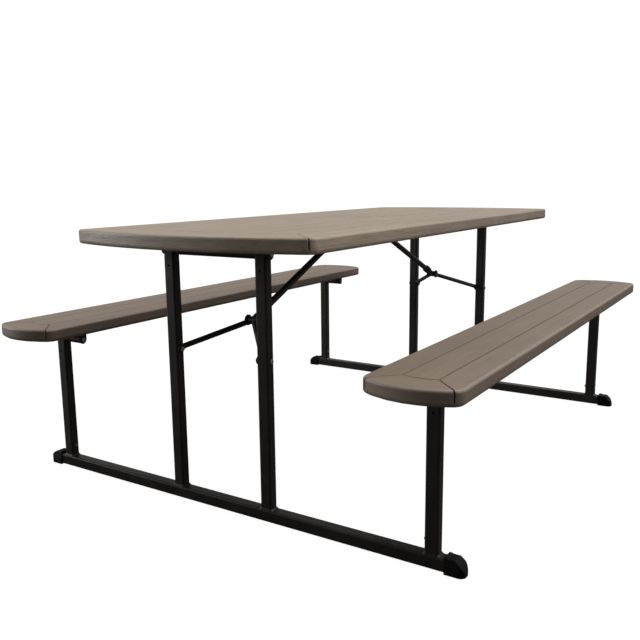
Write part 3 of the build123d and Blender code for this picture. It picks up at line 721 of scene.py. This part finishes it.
    def build(self) -> bpy.types.Object:
        """Model the panel and put it in its node's place.

        Returns:
            The piece.
        """
        bm = bmesh.new()
        self.column = bm.verts.layers.int.new("column")
        self.row = bm.verts.layers.int.new("row")
        self.turned = bm.faces.layers.float.new("board_turned")
        self.shift = bm.faces.layers.float.new("board_shift")
        self.sunk = bm.verts.layers.float.new("sunk")
        self.painted_rim_highlight = bm.verts.layers.float.new("painted_rim_highlight")
        top_loop = self._lay_sheet(bm, 0.0, [(self.top_radius + self.groove.margin, 0.0)])
        self._draw_rim(bm, top_loop)
        under = [(self.rim_width + self.rib_gap, -self.panel_depth),
                 (self.rim_width + 1.5 * MM, -self.panel_depth)]
        self._lay_sheet(bm, -self.panel_depth, under)
        bmesh.ops.remove_doubles(bm, verts=bm.verts, dist=0.02 * MM)
        bmesh.ops.recalc_face_normals(bm, faces=bm.faces)
        self._raise_ribs(bm)
        self._cut_grooves(bm)
        self._mark_boards(bm)
        bmesh.ops.translate(bm, verts=bm.verts, vec=(0, self.middle_y, self.top_z))
        while bm.verts.layers.int:
            bm.verts.layers.int.remove(bm.verts.layers.int[0])
        piece = finish_mesh(bm, f"moulded_{self.node}", math.radians(50))
        return install(piece, self.body, Slot.MOULDED, self.node)

    def _lay_sheet(self, bm: bmesh.types.BMesh, z: float,
                   borders: list[tuple[float, float]]) -> list[bmesh.types.BMEdge]:
        """Lay the grid of the planks and the border around it.

        Args:
            bm: The panel's mesh.
            z: Height of the sheet.
            borders: Inset and height of each loop around the planks.

        Returns:
            The outermost loop.
        """
        made = bmesh.ops.create_grid(bm, x_segments=len(self.columns) - 1,
                                     y_segments=len(self.rows) - 1, size=1.0)["verts"]
        for vert in made:
            column = round((vert.co.x + 1) / 2 * (len(self.columns) - 1))
            row = round((vert.co.y + 1) / 2 * (len(self.rows) - 1))
            vert[self.column], vert[self.row] = column, row
            vert.co = (*self.field_point(column, row), z)
        edges = {edge for vert in made for edge in vert.link_edges}
        loop = [edge for edge in edges if edge.is_boundary]
        if self.ring_radius:
            self._open_middle(bm, made, z)
        for inset, height in borders:
            loop = self._grow(bm, loop, inset, height)
        return loop

    def _grow(self, bm: bmesh.types.BMesh, loop: list[bmesh.types.BMEdge], inset: float,
              z: float) -> list[bmesh.types.BMEdge]:
        """Extrude a loop to the outline drawn in by an inset, at a height."""
        grown = bmesh.ops.extrude_edge_only(bm, edges=loop)["geom"]
        for vert in (item for item in grown if isinstance(item, bmesh.types.BMVert)):
            vert.co = (*self.rim_point(vert[self.column], vert[self.row], inset), z)
        return [item for item in grown if isinstance(item, bmesh.types.BMEdge)
                and item.is_boundary]

    def _draw_rim(self, bm: bmesh.types.BMesh, loop: list[bmesh.types.BMEdge]) -> None:
        """Draw the rim's section: rounded shoulder, side, rounded foot, flat and inner wall."""
        top, foot, depth = self.top_radius, self.bottom_radius, self.rim_depth
        quarter = [math.pi / 2 * step / self.round_steps for step in range(self.round_steps + 1)]
        section = [(top * (1 - math.sin(a)), top * (math.cos(a) - 1)) for a in quarter]
        side = -(depth - foot)
        section += [(0.0, -top - self.groove.margin), (0.0, side + 2 * self.groove.margin)]
        section += [(foot * (1 - math.cos(a)), side - foot * math.sin(a)) for a in quarter]
        lip = 1.5 * MM
        inner = self.rim_width
        section += [(foot + self.groove.margin, -depth), (inner - 2 * lip, -depth), (inner - lip, -depth)]
        section += [(inner - 0.3 * lip, 0.3 * lip - depth), (inner, lip - depth),
                    (inner, 2 * lip - depth)]
        section += [(inner, -self.panel_depth - 2 * lip), (inner, -self.panel_depth - lip),
                    (inner + 0.3 * lip, -self.panel_depth - 0.3 * lip),
                    (inner + lip, -self.panel_depth)]
        for inset, z in section:
            loop = self._grow(bm, loop, inset, z)

    def _open_middle(self, bm: bmesh.types.BMesh, made: list[bmesh.types.BMVert],
                     z: float) -> None:
        """Swap the square in the middle for round loops about the umbrella hole."""
        half = self.block_half - 1e-6
        inside = [face for face in {f for v in made for f in v.link_faces}
                  if max(abs(face.calc_center_median().x), abs(face.calc_center_median().y)) < half]
        square = [edge for edge in {e for f in inside for e in f.edges}
                  if sum(face in inside for face in edge.link_faces) == 1]
        bmesh.ops.delete(bm, geom=inside, context="FACES")
        square = [edge for edge in square if edge.is_valid]
        stops = [(self.ring_radius, z), (self.ring_radius - 2 * self.groove.reach, z)]
        if z == 0.0:
            stops += [(self.seat_radius, z), (self.seat_radius, -self.seat_depth),
                      (self.hole_radius, -self.seat_depth)]
        stops += [(self.hole_radius, -self.panel_depth)]
        for radius, height in stops:
            square = self._draw_in(bm, square, radius, height)

    def spoke(self, place: Vector) -> Vector:
        """Which way a point lies from the hole; points on the square are spread evenly."""
        x, y, half = place.x, place.y, self.block_half
        if max(abs(x), abs(y)) < half - 1e-6:
            return Vector((x, y)).normalized()
        if abs(x) > abs(y) - 1e-6:
            turn = math.pi / 4 * y / half
            return Vector((math.copysign(math.cos(turn), x), math.sin(turn)))
        turn = math.pi / 4 * x / half
        return Vector((math.sin(turn), math.copysign(math.cos(turn), y)))

    def _draw_in(self, bm: bmesh.types.BMesh, ring: list[bmesh.types.BMEdge], radius: float,
                 z: float) -> list[bmesh.types.BMEdge]:
        """Extrude a round loop to another radius and height."""
        grown = bmesh.ops.extrude_edge_only(bm, edges=ring)["geom"]
        for vert in (item for item in grown if isinstance(item, bmesh.types.BMVert)):
            vert.co = (*(self.spoke(vert.co) * radius), z)
        return [item for item in grown if isinstance(item, bmesh.types.BMEdge)
                and item.is_boundary]

    def _raise_ribs(self, bm: bmesh.types.BMesh) -> None:
        """Push the stiffening ribs down out of the underside."""
        for place in self.rib_places:
            faces = [face for face in bm.faces if self._in_rib(face, place)]
            pushed = bmesh.ops.extrude_face_region(bm, geom=faces)["geom"]
            verts = [item for item in pushed if isinstance(item, bmesh.types.BMVert)]
            bmesh.ops.translate(bm, verts=verts, vec=(0, 0, -self.rib_depth))
            for vert in verts:
                vert.co.x = place + (vert.co.x - place) * 0.8
            bmesh.ops.delete(bm, geom=faces, context="FACES")

    def _in_rib(self, face: bmesh.types.BMFace, place: float) -> bool:
        """Whether a face of the underside belongs to the rib at a place."""
        centre = face.calc_center_median()
        flat = all(abs(vert.co.z + self.panel_depth) < 0.1 * MM for vert in face.verts)
        edge = self.width / 2 - self.rim_width - self.rib_gap
        return flat and abs(centre.x - place) < self.rib_half and abs(centre.y) < edge

    # Grooves

    def groove_distance(self, x: float, y: float) -> float:
        """Distance from a point of the plan to the nearest groove's middle line."""
        x, y = abs(x), abs(y)
        centre = math.hypot(x, y)
        found = [abs(centre - self.ring_radius)] if self.ring_radius else []
        if not self.ring_radius or centre > self.ring_radius:
            plank = 2 * self.field_y / self.planks
            lines = [self.field_y - plank * index for index in range(self.planks)]
            found += [abs(y - line) for line in lines
                      if line > -plank / 2 - 1e-6 and x < self.reach(min(abs(line), self.field_y))]
        if x > self.arc_centre and y < self.field_y:
            found.append(abs(math.hypot(x - self.arc_centre, y) - self.inner_radius))
        found.append(self.mitre_distance(x, y))
        return min(found)

    def mitre_distance(self, x: float, y: float) -> float:
        """Distance from a point of the first quadrant to the mitre line."""
        run = self.mitre_run
        away = Vector((x, y)) - self.mitre_start
        return away.length if away.dot(run) < 0 else abs(run.x * away.y - run.y * away.x)

    def outward(self, place: Vector) -> Vector:
        """Which way the surface faces at a place on the top, or on a corner's shoulder or side."""
        lean = math.acos(min(max(1 + place.z / self.top_radius, 0.0), 1.0))
        flat = (Vector((abs(place.x), abs(place.y))) - self.corner_at(0.0)[0]).normalized()
        flat *= math.sin(lean)
        return Vector((math.copysign(flat.x, place.x * flat.x), math.copysign(flat.y, place.y * flat.y),
                       math.cos(lean)))

    def _groove_edges(self, bm: bmesh.types.BMesh) -> list[bmesh.types.BMEdge]:
        """The edges on a groove's middle line: on the top, and down the slots in the rim."""
        slot_end = -(self.rim_depth - self.slot_land) - 1e-6
        chosen = []
        for edge in bm.edges:
            ends = [vert.co for vert in edge.verts]
            middle = (ends[0] + ends[1]) / 2
            if min(ends[0].z, ends[1].z) < slot_end or len(edge.link_faces) != 2:
                continue
            if all(co.z > -1e-6 for co in ends):
                near = max(self.groove_distance(p.x, p.y) for p in (*ends, middle))
                chosen += [edge] if near < 0.25 * MM else []
            elif min(abs(co.x) for co in ends) > self.field_x:
                near = max(self.mitre_distance(abs(co.x), abs(co.y)) for co in ends)
                chosen += [edge] if near < 0.25 * MM else []
        return chosen

    def _cut_grooves(self, bm: bmesh.types.BMesh) -> None:
        """Widen the groove edges into strips and sink the strips to the groove's section."""
        bmesh.ops.bevel(bm, geom=self._groove_edges(bm), offset=self.groove.reach,
                        offset_type="OFFSET", segments=self.groove.steps, profile=0.5,
                        affect="EDGES", clamp_overlap=True, material=-1)
        side = -(self.rim_depth - self.slot_land)
        for vert in bm.verts:
            vert.co.z = min(vert.co.z, 0.0)
            x, y, z = abs(vert.co.x), abs(vert.co.y), vert.co.z
            if z < side - 0.5 * MM or z < -self.top_radius and x < self.field_x:
                continue
            if math.hypot(x, y) < self.ring_radius - 1.5 * self.groove.reach:
                continue
            on_side = z < -1e-6
            distance = self.mitre_distance(x, y) if on_side else self.groove_distance(x, y)
            if on_side and x < self.field_x:
                continue
            sink = self.groove.sink(distance)
            if self.ring_radius and abs(math.hypot(x, y) - self.ring_radius) < self.groove.reach:
                sink *= self.ring_share
            if on_side:
                deeper = min(-z / self.top_radius, 1.0)
                fade = min((z - side) / (2 * MM), 1.0)
                sink *= (1 + deeper * (self.slot_depth / self.groove.depth - 1)) * max(fade, 0.0)
            if sink > 0:
                vert.co -= self.outward(vert.co) * sink
                # How far a vertex sank; the finish darkens by it as painted shade.
                vert[self.sunk] = sink / self.groove.depth
        # Rim shoulder vertices that no groove cut carry the painted rim highlight.
        for vert in bm.verts:
            if vert[self.sunk] == 0 and -self.top_radius < vert.co.z < -0.1 * MM:
                vert[self.painted_rim_highlight] = 1.0

    def _mark_boards(self, bm: bmesh.types.BMesh) -> None:
        """Note on each face which way its board's grain runs, and a shift of its own."""
        plank = 2 * self.field_y / self.planks
        for face in bm.faces:
            centre = face.calc_center_median()
            x, y = abs(centre.x), abs(centre.y)
            start, run = self.mitre_start, self.mitre_run
            beyond = run.x * (y - start.y) - run.y * (x - start.x) < 0
            at_end = beyond if y > self.field_y else x > self.reach(y)
            face[self.turned] = 1.0 if at_end else 0.0
            board = math.floor((centre.y + self.field_y) / plank)
            face[self.shift] = 0.37 * (board if not at_end else 11 + math.copysign(1, centre.x))


# The scene ----------------------------------------------------------------------------------

@dataclass
class Studio:
    """The camera, the pale floor and the soft light."""

    eye: tuple[float, float, float] = (-2.1717, -1.2294, 0.8533)
    yaw: float = math.radians(32.627)
    pitch: float = math.radians(-10.49)
    roll: float = math.radians(-0.626)
    lens: float = 42.05
    floor_half: float = 60.0
    dark_side: tuple[float, float, float] = (-0.84, -0.54, 0.0)
    room_light: float = 0.44
    dark_light: float = 0.01

    def build(self) -> None:
        """Set up the camera, floor, world and lamps."""
        self._camera()
        self._floor()
        self._world()
        self._lamps()

    def _camera(self) -> None:
        """Place the camera."""
        ahead = Vector((math.cos(self.yaw) * math.cos(self.pitch),
                        math.sin(self.yaw) * math.cos(self.pitch), math.sin(self.pitch)))
        right = Vector((math.sin(self.yaw), -math.cos(self.yaw), 0))
        up = right.cross(ahead)
        tilt_right = math.cos(self.roll) * right + math.sin(self.roll) * up
        tilt_up = math.cos(self.roll) * up - math.sin(self.roll) * right
        data = bpy.data.cameras.new("camera")
        data.lens = self.lens
        data.sensor_width = 36.0
        data.clip_end = 500.0
        camera = bpy.data.objects.new("camera", data)
        turn = Matrix((tilt_right, tilt_up, -ahead)).transposed().to_4x4()
        camera.matrix_world = Matrix.Translation(self.eye) @ turn
        bpy.context.scene.collection.objects.link(camera)
        bpy.context.scene.camera = camera

    def _floor(self) -> None:
        """Lay a plain pale floor."""
        bm = bmesh.new()
        bmesh.ops.create_grid(bm, x_segments=1, y_segments=1, size=self.floor_half)
        mesh = bpy.data.meshes.new("floor")
        bm.to_mesh(mesh)
        bm.free()
        floor = bpy.data.objects.new("floor", mesh)
        bpy.context.scene.collection.objects.link(floor)
        material = bpy.data.materials.new("floor_paper")
        material.use_nodes = True
        board = Board(material.node_tree)
        place = board.add("ShaderNodeTexCoord").outputs["Object"]
        seen = board.add("ShaderNodeLightPath").outputs["Is Camera Ray"]
        tint = board.blend(board.noise(place, 0.8, 2.0), (0.07, 0.07, 0.07, 1), (0.08, 0.08, 0.08, 1))
        paper = board.add("ShaderNodeBsdfDiffuse", Color=tint)
        glow = board.add("ShaderNodeEmission", Color=(1, 1, 1, 1), Strength=0.97)
        lifted = board.add("ShaderNodeAddShader")
        board.tree.links.new(paper.outputs[0], lifted.inputs[0])
        board.tree.links.new(glow.outputs[0], lifted.inputs[1])
        mixed = board.add("ShaderNodeMixShader", Fac=seen)
        board.tree.links.new(paper.outputs[0], mixed.inputs[1])
        board.tree.links.new(lifted.outputs[0], mixed.inputs[2])
        board.add("ShaderNodeOutputMaterial", Surface=mixed.outputs[0])
        mesh.materials.append(material)

    def _world(self) -> None:
        """Light the room softly, with the side behind the camera kept dark; the backdrop is white."""
        world = bpy.data.worlds.new("studio")
        world.use_nodes = True
        board = Board(world.node_tree)
        facing = board.add("ShaderNodeVectorMath", {"operation": "DOT_PRODUCT"},
                           Vector=board.add("ShaderNodeTexCoord").outputs["Generated"])
        facing.inputs[1].default_value = self.dark_side
        room = board.remap(facing.outputs["Value"], -0.1, 0.65, self.room_light, self.dark_light)
        seen = board.add("ShaderNodeLightPath").outputs["Is Camera Ray"]
        keep = board.math("MULTIPLY", board.math("SUBTRACT", 1.0, seen), room)
        backdrop = board.add("ShaderNodeBackground", Color=(1, 1, 1, 1),
                             Strength=board.math("ADD", keep, board.math("MULTIPLY", seen, 1.05)))
        board.add("ShaderNodeOutputWorld", Surface=backdrop.outputs[0])
        bpy.context.scene.world = world

    def _lamps(self) -> None:
        """Hang a broad overhead light that leans in from the right-hand side."""
        for name, strength, spread, aim in (("overhead", 2.55, 40.0, (-0.35, 0.30, -1.0)),
                                            ("right", 0.60, 45.0, (0.0, 1.0, -0.45)),
                                            ("left", 1.9, 30.0, (0.34, -1.0, -0.10))):
            data = bpy.data.lights.new(name, "SUN")
            data.energy = strength
            data.angle = math.radians(spread)
            lamp = bpy.data.objects.new(name, data)
            lamp.rotation_euler = Vector(aim).to_track_quat("-Z", "Y").to_euler()
            bpy.context.scene.collection.objects.link(lamp)


@dataclass
class Table:
    """The moulded top."""

    first_rib: float = 0.2115
    last_rib: float = 0.671

    def build(self, wardrobe: Wardrobe) -> None:
        """Model and dress the top."""
        ribs = [side * (self.first_rib + step * (self.last_rib - self.first_rib) / 3)
                for side in (-1, 1) for step in range(4)]
        top = MouldedPanel(
            "tabletop", "table", "table", length=1.829, width=0.744, bow=0.063,
            corner_radius=26 * MM, rim_depth=37 * MM, rim_width=26 * MM, panel_depth=14 * MM,
            top_radius=6 * MM, bottom_radius=9 * MM, side_border=0.105, end_border=0.118,
            planks=6, rows_per_plank=6, rib_places=sorted(ribs), hole_radius=22 * MM,
            seat_radius=33.4 * MM, ring_radius=75 * MM)
        wardrobe.dress(top.build(), "table")


@dataclass
class Bench:
    """One moulded bench."""

    side: str

    def build(self, wardrobe: Wardrobe) -> None:
        """Model and dress the bench."""
        panel = MouldedPanel(
            f"{self.side}_bench", f"{self.side}_bench", "bench", length=1.8, width=0.224,
            bow=0.036, corner_radius=30 * MM, rim_depth=36 * MM, rim_width=15 * MM,
            panel_depth=14 * MM, top_radius=7 * MM, bottom_radius=9 * MM, side_border=71 * MM,
            end_border=78 * MM, planks=1, rows_per_plank=8,
            rib_places=[90 * MM * step for step in range(-4, 5)], rib_depth=9 * MM,
            bow_start=0.74, corner_run=20 * MM,
            groove=Groove(half_width=2.0 * MM, depth=4.2 * MM, margin=0.8 * MM))
        wardrobe.dress(panel.build(), "bench")


def dress_frame(wardrobe: Wardrobe) -> None:
    """Give every node of the frame the finish of its slot.

    Args:
        wardrobe: The finishes.
    """
    for part in frame["record"]["subparts"]:
        slot = part["material_slot"]
        wardrobe.dress_node(part["node"], "table" if slot == Slot.MOULDED.value else slot)
    log.info("finishes on %d nodes of the frame", len(frame["nodes"]))


def main() -> None:
    """Build the studio and the table, piece by piece."""
    logging.basicConfig(level=logging.INFO, format="%(message)s")
    bpy.context.scene.view_settings.view_transform = "Standard"
    Studio().build()
    wardrobe = Wardrobe()
    dress_frame(wardrobe)
    Table().build(wardrobe)
    for side in SIDES:
        Bench(side).build(wardrobe)


if __name__ == "__main__":
    main()
